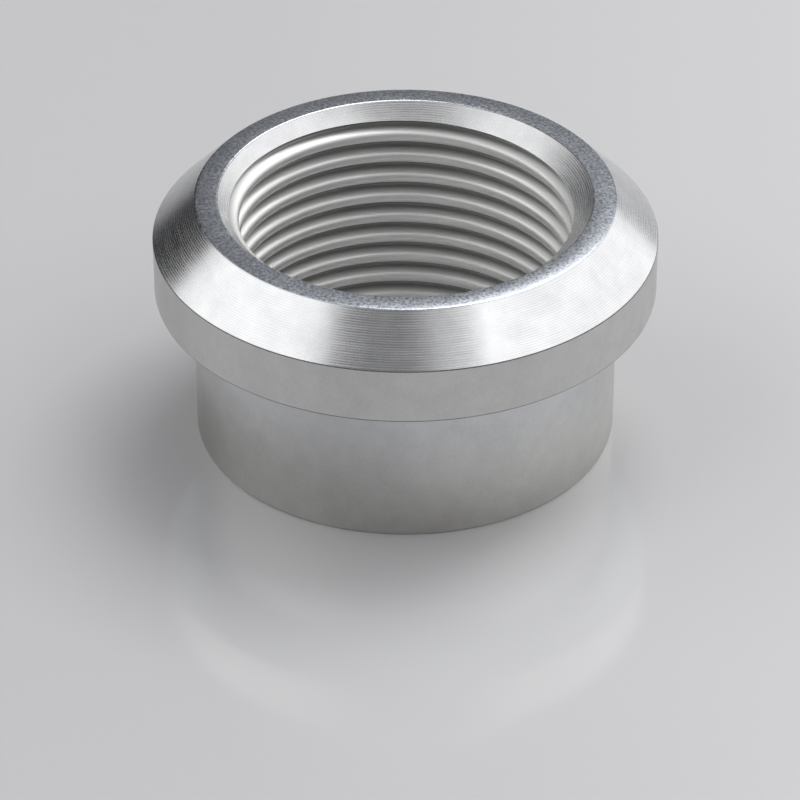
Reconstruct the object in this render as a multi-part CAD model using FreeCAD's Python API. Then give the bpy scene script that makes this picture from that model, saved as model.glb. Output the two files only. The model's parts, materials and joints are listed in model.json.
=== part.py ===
"""Weld-on bung: a turned aluminium boss with a parallel pipe thread right through it.

The spigot drops into a hole in a tube or tank wall, the shoulder under the flange lands on the wall
and is welded round, and a fitting is screwed in from above and seals on the ring face.
Millimetres. The bore's axis is Z, and Z = 0 is the bottom end of the spigot.
"""

import FreeCAD, Part
import math
import os

# Thread: 3/4 parallel pipe, right-hand. The drill leaves this share of the full thread depth.
THREAD_MAJOR_DIAMETER = 26.441
THREADS_PER_INCH = 14.0
THREAD_ANGLE = 55.0
THREAD_DEPTH_SHARE = 0.77

# The groove's middle crosses Z = 0 at this angle from X
THREAD_START_ANGLE = 128.0

# Countersinks, the same at both ends of the bore: how far the mouth lies outside the thread
MOUTH_OVER_THREAD = 0.68

# Spigot, which drops into the hole in the wall: the metal left outside the thread, and the length
SPIGOT_WALL = 2.63
SPIGOT_LENGTH = 12.0

# Flange: the shoulder's width round the spigot, a plain band, then a chamfer up to the ring face
SHOULDER_WIDTH = 2.9
FLANGE_BAND_HEIGHT = 4.3
FLANGE_CHAMFER = 3.2

MM_PER_INCH = 25.4
PIECES_PER_TURN = 4
AXIS = FreeCAD.Vector(0, 0, 1)
ORIGIN = FreeCAD.Vector(0, 0, 0)

# The thread's form is a sharp V with a sixth of its height cut off at the root and at the crest
pitch = MM_PER_INCH / THREADS_PER_INCH
flank_slope = math.tan(math.radians(THREAD_ANGLE / 2))
sharp_height = pitch / 2 / flank_slope
truncation = sharp_height / 6
thread_depth = sharp_height - 2 * truncation
major_radius = THREAD_MAJOR_DIAMETER / 2
sharp_root_radius = major_radius + truncation
bore_radius = major_radius - thread_depth * THREAD_DEPTH_SHARE
mouth_radius = major_radius + MOUTH_OVER_THREAD

# Outside, from the thread outwards and from the spigot's end upwards
spigot_radius = major_radius + SPIGOT_WALL
flange_radius = spigot_radius + SHOULDER_WIDTH
face_radius = flange_radius - FLANGE_CHAMFER
shoulder_z = SPIGOT_LENGTH
chamfer_z = shoulder_z + FLANGE_BAND_HEIGHT
top_z = chamfer_z + FLANGE_CHAMFER


def section(points):
    """A flat face in the XZ plane, from (radius, height) points."""
    corners = [FreeCAD.Vector(radius, 0, height) for radius, height in points]
    return Part.Face(Part.makePolygon(corners + corners[:1]))


def blank():
    """The bar turned to its outside shape: spigot, shoulder, flange band and chamfer."""
    outline = section([
        (0, 0),
        (spigot_radius, 0),
        (spigot_radius, shoulder_z),
        (flange_radius, shoulder_z),
        (flange_radius, chamfer_z),
        (face_radius, top_z),
        (0, top_z),
    ])
    return outline.revolve(ORIGIN, AXIS, 360)


def bore():
    """What the drill and the two 45 degree countersinks take out, as two half turns.

    A wall made of two halves has no face that closes on itself, so the groove cuts it cleanly. The
    halves meet half way along a piece of the groove, so that no edge lies along another.
    """
    overrun = pitch
    countersink = mouth_radius - bore_radius
    half_section = section([
        (0, -overrun),
        (mouth_radius + overrun, -overrun),
        (bore_radius, countersink),
        (bore_radius, top_z - countersink),
        (mouth_radius + overrun, top_z + overrun),
        (0, top_z + overrun),
    ])
    seam_angle = THREAD_START_ANGLE + 180 / PIECES_PER_TURN
    halves = []
    for start in (seam_angle, seam_angle + 180):
        half = half_section.copy()
        half.rotate(ORIGIN, AXIS, start)
        halves.append(half.revolve(ORIGIN, AXIS, 180))
    return halves


def helix_edge(radius, height, angle):
    """A piece of a turn of the right-hand helix, from the given height and angle."""
    edge = Part.makeHelix(pitch, pitch / PIECES_PER_TURN, radius).Edges[0]
    edge.rotate(ORIGIN, AXIS, angle)
    edge.translate(FreeCAD.Vector(0, 0, height))
    return edge


def groove_piece(height, angle):
    """A solid piece of what the tap cuts, whose middle starts at the given height and angle.

    Its section is a V with a flat root at the major diameter. It reaches inwards past the drilled
    wall, half way to where two turns of the V would meet.
    """
    inner_radius = (bore_radius + sharp_root_radius - sharp_height) / 2
    inner_half_width = (sharp_root_radius - inner_radius) * flank_slope
    root_half_width = truncation * flank_slope
    edges = [
        helix_edge(inner_radius, height - inner_half_width, angle),
        helix_edge(major_radius, height - root_half_width, angle),
        helix_edge(major_radius, height + root_half_width, angle),
        helix_edge(inner_radius, height + inner_half_width, angle),
    ]
    faces = [Part.makeRuledSurface(edges[i - 1], edges[i]) for i in range(len(edges))]
    for end in (0, 1):
        corners = [edge.Vertexes[end].Point for edge in edges]
        faces.append(Part.Face(Part.makePolygon(corners + corners[:1])))
    shell = Part.Shell(faces)
    shell.sewShape()
    piece = Part.Solid(shell)
    if piece.Volume < 0:
        piece.reverse()
    return piece


def groove():
    """The whole groove in pieces, from a turn below the spigot's end to a turn above the face."""
    pieces = []
    for i in range(-PIECES_PER_TURN, math.ceil((top_z / pitch + 1) * PIECES_PER_TURN)):
        turns = i / PIECES_PER_TURN
        pieces.append(groove_piece(turns * pitch, THREAD_START_ANGLE + turns * 360))
    return pieces


def main():
    os.makedirs("parts", exist_ok=True)
    bung = blank().cut(bore()).cut(groove()).Solids[0]
    bung.exportStep("parts/bung.step")
    print("bung:", len(bung.Faces), "faces, volume", round(bung.Volume, 1), "mm3, valid", bung.isValid())
    print("spigot", round(2 * spigot_radius, 3), "flange", round(2 * flange_radius, 3), "height", top_z)
    print("bore", round(2 * bore_radius, 3), "mouth", round(2 * mouth_radius, 3), "pitch", round(pitch, 4))


main()
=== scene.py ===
# %% [markdown]
# # A weld-on bung, turned from aluminium bar
#
# The real part is one piece from a lathe: a bar is turned to its outside shape, drilled,
# countersunk at both ends and threaded with a tap. This script makes it in the same order. It
# works in metres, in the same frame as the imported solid: the bore's axis is Z, and the spigot
# stands on Z = 0.

import json
import math
from types import SimpleNamespace

import bmesh
import bpy
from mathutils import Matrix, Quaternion, Vector


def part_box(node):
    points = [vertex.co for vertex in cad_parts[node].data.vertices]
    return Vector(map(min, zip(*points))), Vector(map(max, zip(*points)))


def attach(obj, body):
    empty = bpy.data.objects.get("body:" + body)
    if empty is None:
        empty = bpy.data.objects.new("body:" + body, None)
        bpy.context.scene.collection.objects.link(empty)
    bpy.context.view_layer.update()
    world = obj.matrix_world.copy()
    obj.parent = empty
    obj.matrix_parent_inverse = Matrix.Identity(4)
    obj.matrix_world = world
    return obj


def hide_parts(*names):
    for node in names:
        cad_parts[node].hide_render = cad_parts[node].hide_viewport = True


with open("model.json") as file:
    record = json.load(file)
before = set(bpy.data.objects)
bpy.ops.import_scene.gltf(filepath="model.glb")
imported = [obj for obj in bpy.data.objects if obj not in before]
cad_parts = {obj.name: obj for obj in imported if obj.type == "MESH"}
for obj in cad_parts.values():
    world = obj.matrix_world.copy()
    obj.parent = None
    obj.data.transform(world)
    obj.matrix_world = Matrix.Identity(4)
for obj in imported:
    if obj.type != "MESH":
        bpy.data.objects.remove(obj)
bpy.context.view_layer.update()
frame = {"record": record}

# %% [markdown]
# ## Sizes
#
# What the record measures is read from it, so that the dressed part can't drift from the solid.
# The rest are the same driving sizes as in the part's source. The thread is the 3/4 parallel pipe
# thread: 14 turns to the inch, 55 degree flanks and a rounded root.

# %% Sizes
MM = 0.001
INCH = 25.4 * MM

mounts = {mount["name"]: mount for mount in frame["record"]["mounts"]}
lowest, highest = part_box("bung")
bore_radius = mounts["port_thread"]["dims"]["r_mm"] * MM
spigot_radius = mounts["spigot"]["dims"]["r_mm"] * MM
shoulder_z = mounts["spigot"]["dims"]["length_mm"] * MM
flange_radius = min(-lowest.x, highest.x, -lowest.y, highest.y)
top_z = highest.z

FLANGE_CHAMFER = 3.2 * MM
THREAD_MAJOR_RADIUS = 26.441 / 2 * MM
THREAD_PITCH = INCH / 14
THREAD_ANGLE = math.radians(55)
THREAD_START_ANGLE = math.radians(128)
MOUTH_OVER_THREAD = 0.68 * MM

mouth_radius = THREAD_MAJOR_RADIUS + MOUTH_OVER_THREAD
face_radius = flange_radius - FLANGE_CHAMFER
chamfer_z = top_z - FLANGE_CHAMFER
print("flange", round(2 * flange_radius / MM, 3), "face", round(2 * face_radius / MM, 3), "mm")

# %% [markdown]
# ## Helpers for working by hand in code
#
# Every step below is what a modeller does with the mouse: add a primitive, pick some of its
# corners or edges, and move, extrude or bevel them. Picking is the one thing that needs code, so
# `pick` selects what passes a test on its middle point.

# %% Helpers
TINY = 0.001 * MM


def start_plane(name):
    """A plane in edit mode, upright in the XZ plane, with nothing else selected."""
    bpy.ops.object.select_all(action="DESELECT")
    bpy.ops.mesh.primitive_plane_add(size=1, rotation=(math.pi / 2, 0, 0))
    bpy.ops.object.transform_apply(rotation=True)
    bpy.context.object.name = name
    bpy.ops.object.mode_set(mode="EDIT")
    return bpy.context.object


def pick(kind, test):
    """Selects the corners (VERT) or edges (EDGE) whose middle passes the test."""
    bpy.ops.mesh.select_mode(type=kind)
    bpy.ops.mesh.select_all(action="DESELECT")
    mesh = bmesh.from_edit_mesh(bpy.context.object.data)
    found = 0
    for item in {"VERT": mesh.verts, "EDGE": mesh.edges}[kind]:
        corners = [item] if kind == "VERT" else item.verts
        middle = sum((corner.co for corner in corners), Vector()) / len(corners)
        if test(middle):
            item.select_set(True)
            found += 1
    mesh.select_flush_mode()
    bmesh.update_edit_mesh(bpy.context.object.data)
    return found


def near(value, goal):
    """True where a measure is the wanted one, give or take a thousandth of a millimetre."""
    return abs(value - goal) < TINY


def triangles(piece):
    """How many triangles a piece has."""
    return sum(len(face.vertices) - 2 for face in piece.data.polygons)


# %% [markdown]
# ## The section that the lathe cuts
#
# A turned part is its section spun round the axis, so the section is drawn first: a flat plate
# the size of the spigot's wall, with the flange extruded from its upper part. The drill's hole is
# left undersize, so that the tap below cuts the whole of the bore's wall.

# %% The section
DRILL_UNDERSIZE = 0.35 * MM
drill_radius = bore_radius - DRILL_UNDERSIZE

bung = start_plane("turned_bung")
wall = spigot_radius - drill_radius
bpy.ops.transform.resize(value=(wall, 1, shoulder_z))
bpy.ops.transform.translate(value=(drill_radius + wall / 2, 0, shoulder_z / 2))

pick("EDGE", lambda middle: near(middle.z, shoulder_z))
flange_height = top_z - shoulder_z
bpy.ops.mesh.extrude_region_move(TRANSFORM_OT_translate={"value": (0, 0, flange_height)})
pick("EDGE", lambda middle: near(middle.x, spigot_radius) and middle.z > shoulder_z)
shoulder_width = flange_radius - spigot_radius
bpy.ops.mesh.extrude_region_move(TRANSFORM_OT_translate={"value": (shoulder_width, 0, 0)})

bpy.ops.mesh.select_all(action="SELECT")
bpy.ops.mesh.dissolve_limited(angle_limit=math.radians(1))
print("section's corners:", len(bmesh.from_edit_mesh(bung.data).verts))

# %% [markdown]
# ## Chamfer, countersinks and edge breaks
#
# A vertex bevel cuts a flat corner off: at 45 degrees, its width along each side is the chamfer's
# size. The small edge breaks are the same tool with a few segments, which makes them round. Every
# outer edge gets one, because no real edge is perfectly sharp, and the round catches the light.

# %% Chamfer, countersinks and edge breaks
EDGE_BREAK = 0.05 * MM
FACE_EDGE_BREAK = 0.09 * MM
SPIGOT_EDGE_BREAK = 0.15 * MM
SHOULDER_EDGE_BREAK = 0.13 * MM
EDGE_SEGMENTS = 3


def cut_corner(radius, height, width, segments=1):
    """Bevels the section's corner at that radius and height."""
    found = pick("VERT", lambda middle: near(middle.x, radius) and near(middle.z, height))
    bpy.ops.mesh.bevel(affect="VERTICES", offset=width, segments=segments, profile=0.5)
    return found


countersink = mouth_radius - drill_radius
cut_corner(flange_radius, top_z, FLANGE_CHAMFER)
cut_corner(drill_radius, top_z, countersink)
cut_corner(drill_radius, 0, countersink)

broken = 0
for radius, height, width in (
    (spigot_radius, 0, SPIGOT_EDGE_BREAK),
    (flange_radius, shoulder_z, SHOULDER_EDGE_BREAK),
    (flange_radius, chamfer_z, EDGE_BREAK),
    (face_radius, top_z, FACE_EDGE_BREAK),
    (mouth_radius, top_z, FACE_EDGE_BREAK),
    (mouth_radius, 0, EDGE_BREAK),
):
    broken += cut_corner(radius, height, width, EDGE_SEGMENTS)
print("edges broken:", broken)

# %% [markdown]
# ## Turning
#
# The face is dropped and its outline is spun a full turn. 360 steps keep the rim smooth even in
# a close view.

# %% Turning
TURN_STEPS = 360

bpy.ops.mesh.select_all(action="SELECT")
bpy.ops.mesh.delete(type="ONLY_FACE")
bpy.ops.mesh.select_all(action="SELECT")
bpy.ops.mesh.spin(steps=TURN_STEPS, angle=2 * math.pi, center=(0, 0, 0), axis=(0, 0, 1))
bpy.ops.mesh.select_all(action="SELECT")
bpy.ops.mesh.remove_doubles(threshold=TINY)
bpy.ops.mesh.normals_make_consistent(inside=False)
bpy.ops.object.mode_set(mode="OBJECT")
print("turned blank:", triangles(bung), "triangles")

# %% [markdown]
# ## One tooth of the tap
#
# A thread could be a texture, but it catches light and shows against the countersink, so it is
# cut for real. The tap starts as one tooth: a plate one pitch high, whose outer edge is cut to
# the tooth's width, pushed out to the sharp root and merged to a point. The point is bevelled
# round, by the share of the pitch that the thread's standard gives, and so are the two inner
# corners, because a full-form tap rounds the thread's crests as well.

# %% One tooth of the tap
ROOT_ROUND_SHARE = 0.137329
ROOT_SEGMENTS = 6
CREST_BREAK = 0.28 * MM
CREST_SEGMENTS = 5
TAP_CORE_RADIUS = drill_radius - 1.0 * MM
FINE_CUT = TINY / 100

half_angle = THREAD_ANGLE / 2
sharp_height = THREAD_PITCH / 2 / math.tan(half_angle)
sharp_root_radius = THREAD_MAJOR_RADIUS + sharp_height / 6
tooth_depth = sharp_root_radius - bore_radius
tooth_half_width = tooth_depth * math.tan(half_angle)
root_round_length = ROOT_ROUND_SHARE * THREAD_PITCH / math.tan(half_angle)

tap = start_plane("tap")
core_depth = bore_radius - TAP_CORE_RADIUS
bpy.ops.transform.resize(value=(core_depth, 1, THREAD_PITCH))
bpy.ops.transform.translate(value=(TAP_CORE_RADIUS + core_depth / 2, 0, 0))
for side in (-1, 1):
    bpy.ops.mesh.select_all(action="SELECT")
    bpy.ops.mesh.bisect(
        plane_co=(0, 0, side * tooth_half_width), plane_no=(0, 0, 1), threshold=FINE_CUT
    )
pick("EDGE", lambda middle: near(middle.x, bore_radius) and near(middle.z, 0))
bpy.ops.mesh.extrude_region_move(TRANSFORM_OT_translate={"value": (tooth_depth, 0, 0)})
bpy.ops.mesh.merge(type="CENTER")
bpy.ops.mesh.select_all(action="SELECT")
bpy.ops.mesh.dissolve_faces()

cut_corner(sharp_root_radius, 0, root_round_length, ROOT_SEGMENTS)
for side in (-1, 1):
    cut_corner(bore_radius, side * tooth_half_width, CREST_BREAK, CREST_SEGMENTS)
print("tooth's corners:", len(bmesh.from_edit_mesh(tap.data).verts))

# %% [markdown]
# ## Winding the tap
#
# Only the outer line of the tooth is kept. It is set to its place in the thread's turn, and the
# Screw modifier winds it up from below the spigot's end to above the face.

# %% Winding the tap
SPARE_TURNS = 2

pick("VERT", lambda middle: near(middle.x, TAP_CORE_RADIUS))
bpy.ops.mesh.delete(type="VERT")
start_height = -THREAD_START_ANGLE / (2 * math.pi) * THREAD_PITCH - SPARE_TURNS * THREAD_PITCH
bpy.ops.mesh.select_all(action="SELECT")
bpy.ops.transform.translate(value=(0, 0, start_height))
bpy.ops.object.mode_set(mode="OBJECT")

turns = math.ceil(top_z / THREAD_PITCH) + 2 * SPARE_TURNS
screw = tap.modifiers.new("winding", "SCREW")
screw.axis = "Z"
screw.angle = 2 * math.pi
screw.screw_offset = THREAD_PITCH
screw.iterations = turns
screw.steps = TURN_STEPS
screw.render_steps = TURN_STEPS
screw.use_merge_vertices = False
bpy.ops.object.modifier_apply(modifier=screw.name)

bpy.ops.object.mode_set(mode="EDIT")
bpy.ops.mesh.select_all(action="SELECT")
bpy.ops.mesh.remove_doubles(threshold=TINY)
print("tap wound:", turns, "turns")

# %% [markdown]
# ## The tap's ends
#
# The wound strip is open at both ends. It is cut off flat a little outside the part, and each rim
# is filled with one face, so that the Boolean gets a closed body.

# %% The tap's ends
TAP_OVERRUN = 0.8 * MM

for height, upwards in ((-TAP_OVERRUN, -1), (top_z + TAP_OVERRUN, 1)):
    bpy.ops.mesh.select_all(action="SELECT")
    bpy.ops.mesh.bisect(
        plane_co=(0, 0, height), plane_no=(0, 0, upwards), clear_outer=True, threshold=FINE_CUT
    )
    rim = pick("EDGE", lambda middle: near(middle.z, height))
    bpy.ops.mesh.edge_face_add()
    print("end closed over", rim, "edges")
bpy.ops.mesh.select_all(action="SELECT")
bpy.ops.mesh.normals_make_consistent(inside=False)
bpy.ops.mesh.select_mode(type="EDGE")
bpy.ops.mesh.select_all(action="DESELECT")
bpy.ops.mesh.select_non_manifold()
open_edges = sum(edge.select for edge in bmesh.from_edit_mesh(tap.data).edges)
bpy.ops.object.mode_set(mode="OBJECT")
print("tap:", triangles(tap), "triangles,", open_edges, "open edges")

# %% [markdown]
# ## Tapping the hole
#
# One Boolean takes the tap's shape out of the blank. The thread then runs out into both
# countersinks where the real one does, in crisp crescents.

# %% Tapping
bpy.ops.object.select_all(action="DESELECT")
bung.select_set(True)
bpy.context.view_layer.objects.active = bung
tapping = bung.modifiers.new("tapping", "BOOLEAN")
tapping.operation = "DIFFERENCE"
tapping.object = tap
tapping.solver = "MANIFOLD"
bpy.ops.object.modifier_apply(modifier=tapping.name)
bpy.data.objects.remove(tap)
print("tapped bung:", triangles(bung), "triangles")

# %% [markdown]
# ## Smoothing
#
# The cylinders, cones and flanks are smooth, and edges sharper than the limit stay crisp. The
# weighted normals keep each flat face flat right up to its rounded edge.

# %% Smoothing
SMOOTH_LIMIT = math.radians(35)
FLAT_FACE_WEIGHT = 100

bpy.ops.object.shade_smooth_by_angle(angle=SMOOTH_LIMIT)
weighted = bung.modifiers.new("flat faces stay flat", "WEIGHTED_NORMAL")
weighted.keep_sharp = True
weighted.weight = FLAT_FACE_WEIGHT
bpy.ops.object.modifier_apply(modifier=weighted.name)
print("sharp edges:", sum(edge.use_edge_sharp for edge in bung.data.edges))

# %% [markdown]
# ## Finishes
#
# All of it is the same bare aluminium, but each tool leaves its own finish. Marks that a lathe
# leaves run round the axis, so their noise is drawn out along that way: the place round the axis
# comes in as a direction and not as an angle, and so no seam shows. The shine of turned metal is
# drawn out too, across the marks, which is what the Anisotropic input does along a tangent.

# %% Helpers for the finishes
def add_node(tree, kind, inputs=None, **settings):
    """A node with its settings, whose inputs are given as values or as sockets to link."""
    node = tree.nodes.new(kind)
    for name, value in settings.items():
        setattr(node, name, value)
    for name, value in (inputs or {}).items():
        if isinstance(value, bpy.types.NodeSocket):
            tree.links.new(value, node.inputs[name])
        else:
            node.inputs[name].default_value = value
    return node


def calculate(tree, operation, *values):
    """One step of arithmetic on numbers or sockets."""
    inputs = dict(enumerate(values))
    return add_node(tree, "ShaderNodeMath", inputs, operation=operation).outputs["Value"]


def vector_step(tree, operation, inputs, result="Vector"):
    """One step of arithmetic on points or directions."""
    return add_node(tree, "ShaderNodeVectorMath", inputs, operation=operation).outputs[result]


def measures(tree):
    """Sockets for the place on the part: the point, the way out from the axis, radius, height."""
    point = add_node(tree, "ShaderNodeTexCoord").outputs["Object"]
    flat = vector_step(tree, "MULTIPLY", {0: point, 1: (1, 1, 0)})
    return SimpleNamespace(
        point=point,
        outwards=vector_step(tree, "NORMALIZE", {0: flat}),
        radius=vector_step(tree, "LENGTH", {0: flat}, "Value"),
        height=add_node(tree, "ShaderNodeSeparateXYZ", {"Vector": point}).outputs["Z"],
    )


def ring_noise(tree, outwards, across, spacing, around):
    """Noise drawn out into rings: quick across them, by the spacing, and slow round the axis."""
    slow = vector_step(tree, "SCALE", {0: outwards, "Scale": around})
    quick = calculate(tree, "MULTIPLY", across, 1 / spacing)
    lifted = add_node(tree, "ShaderNodeCombineXYZ", {"Z": quick}).outputs["Vector"]
    noise = {"Vector": vector_step(tree, "ADD", {0: slow, 1: lifted}), "Scale": 1.0, "Detail": 1.0}
    return add_node(tree, "ShaderNodeTexNoise", noise).outputs["Fac"]


def grain_noise(tree, point, size, detail=3.0):
    """Noise that is alike in every direction, with lumps of the given size."""
    noise = {"Vector": point, "Scale": 1 / size, "Detail": detail}
    return add_node(tree, "ShaderNodeTexNoise", noise).outputs["Fac"]


def spread(tree, value, low, high, value_low=0.3, value_high=0.7):
    """A value stretched from one range, which is noise's usual one, to another."""
    ends = {"From Min": value_low, "From Max": value_high, "To Min": low, "To Max": high}
    return add_node(tree, "ShaderNodeMapRange", {"Value": value, **ends}).outputs["Result"]


def blend(tree, factor, first, second):
    """A colour between two, by the factor."""
    colours = {"Factor": factor, "A": (*first, 1), "B": (*second, 1)}
    return add_node(tree, "ShaderNodeMix", colours, data_type="RGBA").outputs["Result"]


def bump(tree, height, depth, below=None):
    """Marks of that depth in metres, on top of the bump below."""
    marks = {"Height": height, "Distance": depth, "Strength": 1.0}
    if below:
        marks["Normal"] = below
    return add_node(tree, "ShaderNodeBump", marks).outputs["Normal"]


def new_metal(name, anisotropy):
    """A metal whose shine is drawn out across the tool's rings, with its tree and shader."""
    metal = bpy.data.materials.new(name)
    metal.use_nodes = True
    shader = metal.node_tree.nodes["Principled BSDF"]
    shader.inputs["Metallic"].default_value = 1.0
    shader.inputs["Anisotropic"].default_value = anisotropy
    tangent = add_node(metal.node_tree, "ShaderNodeTangent", direction_type="RADIAL", axis="Z")
    metal.node_tree.links.new(tangent.outputs["Tangent"], shader.inputs["Tangent"])
    return metal, metal.node_tree, shader


def dress(tree, shader, colour, roughness, normal):
    """Links a finish's colour, roughness and bump to its shader."""
    tree.links.new(colour, shader.inputs["Base Color"])
    tree.links.new(roughness, shader.inputs["Roughness"])
    tree.links.new(normal, shader.inputs["Normal"])


# %% [markdown]
# ### Turned cones
#
# The chamfer and the countersinks were cut last, with a keen tool and a fine feed. Each turn of
# the lathe leaves one fine ring: a slight groove that is also a little darker and rougher. The
# Ping-Pong step makes the groove's profile from the height. A slow noise shifts the rings by a
# small share of the feed, because a machine never runs perfectly even.

# %% Turned cones
FEED = 0.13 * MM
FEED_WAVER = 0.14
FEED_MARK_DEPTH = 0.0011 * MM
FEED_MARK_TOP = 0.5
HANDLING_SIZE = 1.5 * MM
CONE_SHINE = ((0.74, 0.745, 0.755), (0.93, 0.935, 0.94))


def turned_cone(name, smoothest, roughest):
    """A chamfer or a countersink: bright, with one fine ring for each turn of the tool's feed."""
    metal, tree, shader = new_metal(name, anisotropy=0.9)
    place = measures(tree)
    uneven = ring_noise(tree, place.outwards, place.height, FEED / 2, around=5.0)
    waver = spread(tree, uneven, -FEED_WAVER, FEED_WAVER)
    turned = calculate(tree, "MULTIPLY_ADD", place.height, 1 / FEED, waver)
    feed_marks = calculate(tree, "PINGPONG", turned, FEED_MARK_TOP)
    handling = grain_noise(tree, place.point, HANDLING_SIZE)
    tone = spread(tree, calculate(tree, "ADD", feed_marks, handling), 0, 1, 0.35, 1.15)
    roughness = spread(tree, feed_marks, smoothest, roughest, 0, FEED_MARK_TOP)
    dress(tree, shader, blend(tree, tone, *CONE_SHINE), roughness, bump(tree, feed_marks, FEED_MARK_DEPTH))
    return metal


# %% [markdown]
# ### Faced ring
#
# The narrow face on top is grainy, a little torn and bluish against the bright cones, as a quick
# facing cut leaves it. Its grain is in the colour, the roughness and the bump.
# The real face is not quite flat, which shows as light that changes round the ring. A bump that
# falls with the radius tilts its shading by three degrees and leaves the mesh flat.

# %% Faced ring
FACE_CROWN = math.tan(math.radians(3))
GRAIN_SIZE = 0.25 * MM
GRAIN_DEPTH = 0.0035 * MM
WORN_PATCH_SIZE = 1.2 * MM
FACING_LINE_SPACING = 0.10 * MM
FACING_LINE_DEPTH = 0.002 * MM
FACE_SHINE = ((0.49, 0.52, 0.575), (0.65, 0.68, 0.73))
WHOLE_METRE = 1.0


def faced_ring():
    """The narrow face on top, and the other flat faces: grainy and torn, a little bluish."""
    metal, tree, shader = new_metal("faced_ring", anisotropy=0.0)
    place = measures(tree)
    grain = grain_noise(tree, place.point, GRAIN_SIZE, detail=2.0)
    patches = grain_noise(tree, place.point, WORN_PATCH_SIZE)
    lines = ring_noise(tree, place.outwards, place.radius, FACING_LINE_SPACING, around=9.0)
    worn = spread(tree, calculate(tree, "ADD", grain, patches), 0, 1, 0.75, 1.3)
    crown = calculate(tree, "MULTIPLY", place.radius, -FACE_CROWN)
    normal = bump(tree, crown, WHOLE_METRE)
    normal = bump(tree, grain, GRAIN_DEPTH, normal)
    normal = bump(tree, lines, FACING_LINE_DEPTH, normal)
    dress(tree, shader, blend(tree, worn, *FACE_SHINE), spread(tree, grain, 0.22, 0.36), normal)
    return metal


# %% [markdown]
# ### Satin cylinders
#
# The band and the spigot are satin, with faint rings from the tool, fine specks, smudges from
# handling and wide blotches. Three noises of different sizes are added
# up to one tone, so that no size stands out. The colour goes from warm at the foot to cool under
# the flange.

# %% Satin cylinders
SPECK_SIZE = 0.22 * MM
SPECK_DEPTH = 0.0016 * MM
SMUDGE_SIZE = 1.4 * MM
BLOTCH_SIZE = 6.0 * MM
SATIN_LINE_SPACING = 0.14 * MM
SATIN_LINE_DEPTH = 0.0012 * MM
WARM_BELOW = 2 * MM
COOL_ABOVE = 11 * MM


def satin_cylinder(name, low_colour, high_colour):
    """The band or the spigot: satin, faintly ringed, specked and blotched by handling."""
    metal, tree, shader = new_metal(name, anisotropy=0.8)
    place = measures(tree)
    specks = grain_noise(tree, place.point, SPECK_SIZE)
    smudges = grain_noise(tree, place.point, SMUDGE_SIZE)
    blotches = grain_noise(tree, place.point, BLOTCH_SIZE, detail=1.0)
    lines = ring_noise(tree, place.outwards, place.height, SATIN_LINE_SPACING, around=3.0)
    marks = calculate(tree, "ADD", calculate(tree, "ADD", specks, smudges), blotches)
    tone = spread(tree, marks, 0.93, 1.06, 1.15, 1.85)
    colour = blend(tree, spread(tree, place.height, 0, 1, WARM_BELOW, COOL_ABOVE), low_colour, high_colour)
    shaded = vector_step(tree, "SCALE", {0: colour, "Scale": tone})
    normal = bump(tree, lines, SATIN_LINE_DEPTH, bump(tree, specks, SPECK_DEPTH))
    dress(tree, shader, shaded, spread(tree, specks, 0.32, 0.38), normal)
    return metal


# %% [markdown]
# ### Cut thread
#
# A tap drags as it cuts, so the thread is duller than the cones. The colour falls from the crests to
# the roots: a painted shade, because light hardly gets into the grooves.

# %% Cut thread
DRAG_SPACING = 0.07 * MM
DRAG_DEPTH = 0.0015 * MM
# The crests' colour darkens to the roots' one with depth: a painted shade in the grooves.
CREST_SHINE = (0.96, 0.96, 0.95)
ROOT_PAINTED_SHADE = (0.36, 0.36, 0.35)


def cut_thread():
    """The thread: satin from the tap's drag, with a painted shade that darkens it deep in the grooves."""
    metal, tree, shader = new_metal("cut_thread", anisotropy=0.5)
    place = measures(tree)
    drag = ring_noise(tree, place.outwards, place.height, DRAG_SPACING, around=2.0)
    # Painted shade: the colour darkens from the crests down to the roots.
    depth = spread(tree, place.radius, 0, 1, bore_radius + CREST_BREAK, THREAD_MAJOR_RADIUS)
    colour = blend(tree, depth, CREST_SHINE, ROOT_PAINTED_SHADE)
    dress(tree, shader, colour, spread(tree, drag, 0.46, 0.54), bump(tree, drag, DRAG_DEPTH))
    return metal


# %% [markdown]
# ### Painted dark edges
#
# In the photo there is a dark hair line along both edges of the flange's band, where two cuts meet,
# so these edge breaks get a rough finish and a dark painted shade.

# %% Painted dark edges
TORN_SIZE = 0.12 * MM
TORN_DEPTH = 0.006 * MM
# The edges' dark colour is a painted shade.
EDGE_PAINTED_SHADE = ((0.16, 0.16, 0.16), (0.34, 0.34, 0.34))


def painted_dark_edge():
    """The flange's two outer edges: rough, with a dark hair line of painted shade."""
    metal, tree, shader = new_metal("painted_dark_edge", anisotropy=0.0)
    torn = grain_noise(tree, measures(tree).point, TORN_SIZE)
    colour = blend(tree, spread(tree, torn, 0, 1), *EDGE_PAINTED_SHADE)
    dress(tree, shader, colour, spread(tree, torn, 0.40, 0.60), bump(tree, torn, TORN_DEPTH))
    return metal


# %% [markdown]
# ## Which face has which finish
#
# Each finish is made once and gets a slot on the piece. A face's place and the way it faces say
# which tool cut it, so its finish is worked out from those and holds when a size changes.

# %% Which face has which finish
BAND_SHADE = (0.57, 0.57, 0.56)
FINISHES = {
    "turned_chamfer": turned_cone("turned_chamfer", smoothest=0.13, roughest=0.21),
    "countersink": turned_cone("countersink", smoothest=0.24, roughest=0.32),
    "faced_ring": faced_ring(),
    "flange_band": satin_cylinder("flange_band", BAND_SHADE, BAND_SHADE),
    "spigot_wall": satin_cylinder("spigot_wall", (0.62, 0.615, 0.585), (0.60, 0.61, 0.63)),
    "cut_thread": cut_thread(),
    "painted_dark_edge": painted_dark_edge(),
}
SIDEWAYS_LIMIT = 0.3
CONE_SLOPE = math.sqrt(0.5)
CONE_TOLERANCE = 0.02

bung.data.materials.clear()
for metal in FINISHES.values():
    bung.data.materials.append(metal)


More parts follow.
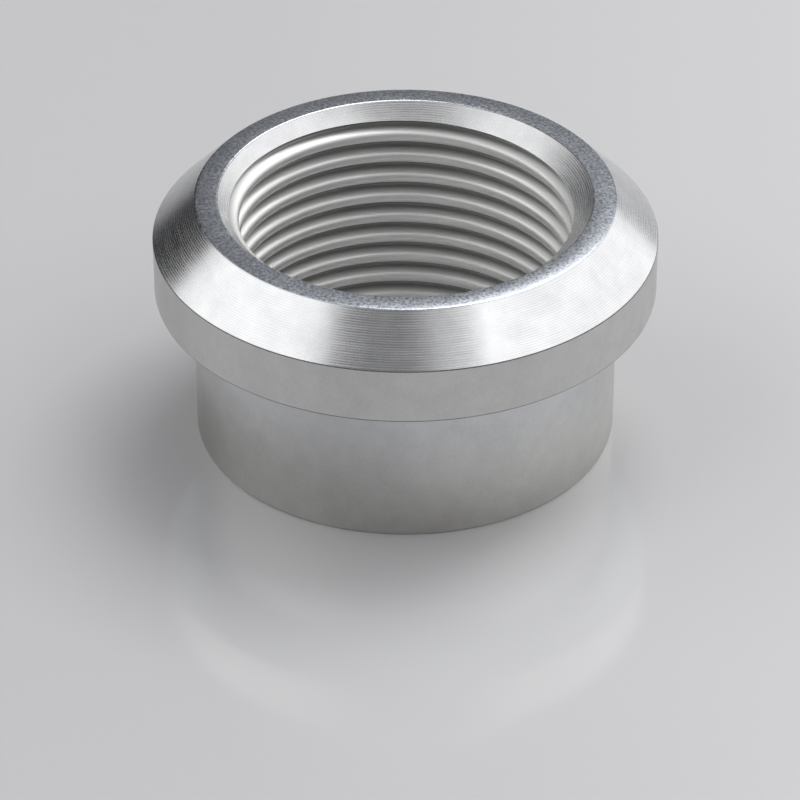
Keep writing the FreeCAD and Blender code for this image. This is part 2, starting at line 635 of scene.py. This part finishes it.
def finish_of(face):
    """Which finish a face has, from its place and the way it faces."""
    radius = math.hypot(face.center.x, face.center.y)
    outer_edges = (shoulder_z, chamfer_z)
    to_edge = min(math.hypot(radius - flange_radius, face.center.z - z) for z in outer_edges)
    outside = radius > mouth_radius + TINY
    sideways = abs(face.normal.z) < SIDEWAYS_LIMIT
    conical = abs(abs(face.normal.z) - CONE_SLOPE) < CONE_TOLERANCE
    if to_edge < SHOULDER_EDGE_BREAK:
        return "painted_dark_edge"
    if outside and conical:
        return "turned_chamfer"
    if outside and sideways:
        return "flange_band" if radius > spigot_radius + EDGE_BREAK else "spigot_wall"
    if outside:
        return "faced_ring"
    return "countersink" if conical else "cut_thread"


order = list(FINISHES)
counts = dict.fromkeys(order, 0)
for face in bung.data.polygons:
    finish = finish_of(face)
    face.material_index = order.index(finish)
    counts[finish] += 1
print("faces of each finish:", counts)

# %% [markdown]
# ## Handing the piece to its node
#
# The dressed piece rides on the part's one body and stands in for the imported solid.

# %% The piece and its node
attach(bung, "root")
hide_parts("bung")

# %% [markdown]
# ## Camera
#
# The photo is taken from 34 degrees above with a long lens. Place, aim and lens come from fitting
# the flange's edges, so that the render lies on the photo.

# %% Camera
CAMERA_PLACE = Vector((0, -251.65, 172.73)) * MM
CAMERA_AIM = Vector((-0.40, 0, 1.16)) * MM
CAMERA_LENS = 179.51
CLOSEST_SEEN = 10 * MM

bpy.ops.object.camera_add(location=CAMERA_PLACE)
camera = bpy.context.object
camera.rotation_euler = (CAMERA_AIM - CAMERA_PLACE).to_track_quat("-Z", "Y").to_euler()
camera.data.lens = CAMERA_LENS
camera.data.clip_start = CLOSEST_SEEN
bpy.context.scene.camera = camera
print("camera stands", round((CAMERA_PLACE - CAMERA_AIM).length / MM), "mm away")

# %% [markdown]
# ## Floor
#
# The bung stands on a pale glossy board that mirrors it softly. The board's colour gets a little
# lighter towards the right, as in the photo: painted light, where the light falls stronger.

# %% Floor
FLOOR_SIZE = 6.0
# The board's colour is painted lighter to the right: painted light.
BOARD_LEFT = (0.675, 0.675, 0.685)
BOARD_RIGHT = (0.76, 0.76, 0.77)
BOARD_LEFT_X = -12 * MM
BOARD_RIGHT_X = 38 * MM

bpy.ops.object.select_all(action="DESELECT")
bpy.ops.mesh.primitive_plane_add(size=FLOOR_SIZE)
floor = bpy.context.object
floor.name = "floor"
floor_paint = bpy.data.materials.new("pale_gloss_board")
floor_paint.use_nodes = True
paint_tree = floor_paint.node_tree
board = paint_tree.nodes["Principled BSDF"]
board.inputs["Roughness"].default_value = 0.10
board.inputs["IOR"].default_value = 2.05
board_point = add_node(paint_tree, "ShaderNodeTexCoord").outputs["Object"]
to_right = add_node(paint_tree, "ShaderNodeSeparateXYZ", {"Vector": board_point}).outputs["X"]
# Painted light: the colour brightens towards the right.
share = spread(paint_tree, to_right, 0, 1, BOARD_LEFT_X, BOARD_RIGHT_X)
board_with_painted_light = blend(paint_tree, share, BOARD_LEFT, BOARD_RIGHT)
paint_tree.links.new(board_with_painted_light, board.inputs["Base Color"])
floor.data.materials.append(floor_paint)
print("floor:", FLOOR_SIZE, "m square")

# %% [markdown]
# ## Lights
#
# Turned metal shows its surroundings more than its own colour, so the lights are set by what the
# photo's chamfer mirrors: a soft box on each side, turned so that their edges fall where the
# chamfer goes dark, a weak one in front to the right, one above, and the strongest behind to the
# right, which throws the shadow forwards. Each box's power follows from its size and the
# brightness of its white front.

# %% Lights
def softbox(name, place, aim, width, height, brightness, roll=0):
    """A soft box: an area lamp that faces the aim. Its brightness is that of its white front."""
    place = Vector(place) * MM
    bpy.ops.object.light_add(type="AREA", location=place)
    lamp = bpy.context.object
    lamp.name = name
    lamp.data.shape = "RECTANGLE"
    lamp.data.size = width * MM
    lamp.data.size_y = height * MM
    lamp.data.energy = brightness * math.pi * width * height * MM * MM
    facing = (Vector(aim) * MM - place).to_track_quat("-Z", "Y")
    lamp.rotation_euler = (facing @ Quaternion((0, 0, 1), math.radians(roll))).to_euler()
    lamp.visible_camera = False
    print(name, round(lamp.data.energy, 3), "W")


PART = (0, 0, 0)
softbox(
    "left_softbox", (-400, -34, 499), aim=(0, -34, 499), width=900, height=600, brightness=0.96, roll=36
)
softbox(
    "right_softbox", (400, 42, 480), aim=(0, 42, 480), width=1150, height=600, brightness=0.91, roll=-33
)
softbox("front_softbox", (300, -420, 740), aim=PART, width=380, height=230, brightness=0.38)
softbox("top_softbox", (20, 60, 900), aim=(20, 60, 0), width=760, height=540, brightness=0.65)
softbox("rear_softbox", (252, 373, 779), aim=PART, width=540, height=540, brightness=4.2)

# %% [markdown]
# ## The room
#
# The rest of the room is dim, and a little lighter low down, where the walls catch light. A
# colour ramp over the height of the view's direction gives that in one node.

# %% World
ROOM = ((0.06, (0.38, 0.38, 0.39)), (0.22, (0.18, 0.18, 0.185)))

world = bpy.data.worlds.new("studio")
bpy.context.scene.world = world
world.use_nodes = True
room_tree = world.node_tree
way = add_node(room_tree, "ShaderNodeTexCoord").outputs["Generated"]
upwards = add_node(room_tree, "ShaderNodeSeparateXYZ", {"Vector": way}).outputs["Z"]
ramp = add_node(room_tree, "ShaderNodeValToRGB", {"Fac": upwards})
for stop, (position, colour) in zip(ramp.color_ramp.elements, ROOM):
    stop.position = position
    stop.color = (*colour, 1)
room_tree.links.new(ramp.outputs["Color"], room_tree.nodes["Background"].inputs["Color"])
print("room's shades:", [colour for position, colour in ROOM])

# %% [markdown]
# ## Dark card
#
# Bright metal needs something dark to mirror, or it looks like plastic. A black card at the left
# rear, out of the camera's sight, gives the chamfer its dark end.

# %% Dark card
CARD_PLACE = Vector((-190, 230, 120)) * MM
CARD_TURN = math.radians(40)
CARD_WIDTH = 270 * MM
CARD_HEIGHT = 240 * MM
CARD_SHADE = (0.02, 0.02, 0.022, 1)

bpy.ops.object.select_all(action="DESELECT")
bpy.ops.mesh.primitive_plane_add(size=1, location=CARD_PLACE, rotation=(math.pi / 2, 0, CARD_TURN))
card = bpy.context.object
card.name = "dark_card"
card.scale = (CARD_WIDTH, CARD_HEIGHT, 1)
card_paint = bpy.data.materials.new("black_card")
card_paint.use_nodes = True
card_front = card_paint.node_tree.nodes["Principled BSDF"]
card_front.inputs["Base Color"].default_value = CARD_SHADE
card_front.inputs["Roughness"].default_value = 0.9
card.data.materials.append(card_paint)
card.visible_camera = False
print("card:", CARD_WIDTH, "by", CARD_HEIGHT, "m")

# %% [markdown]
# ## Hand over
# ## Colour view
# Colours are shown as they are, with no filmic curve.

# %% Colour view
bpy.context.scene.view_settings.view_transform = "Standard"
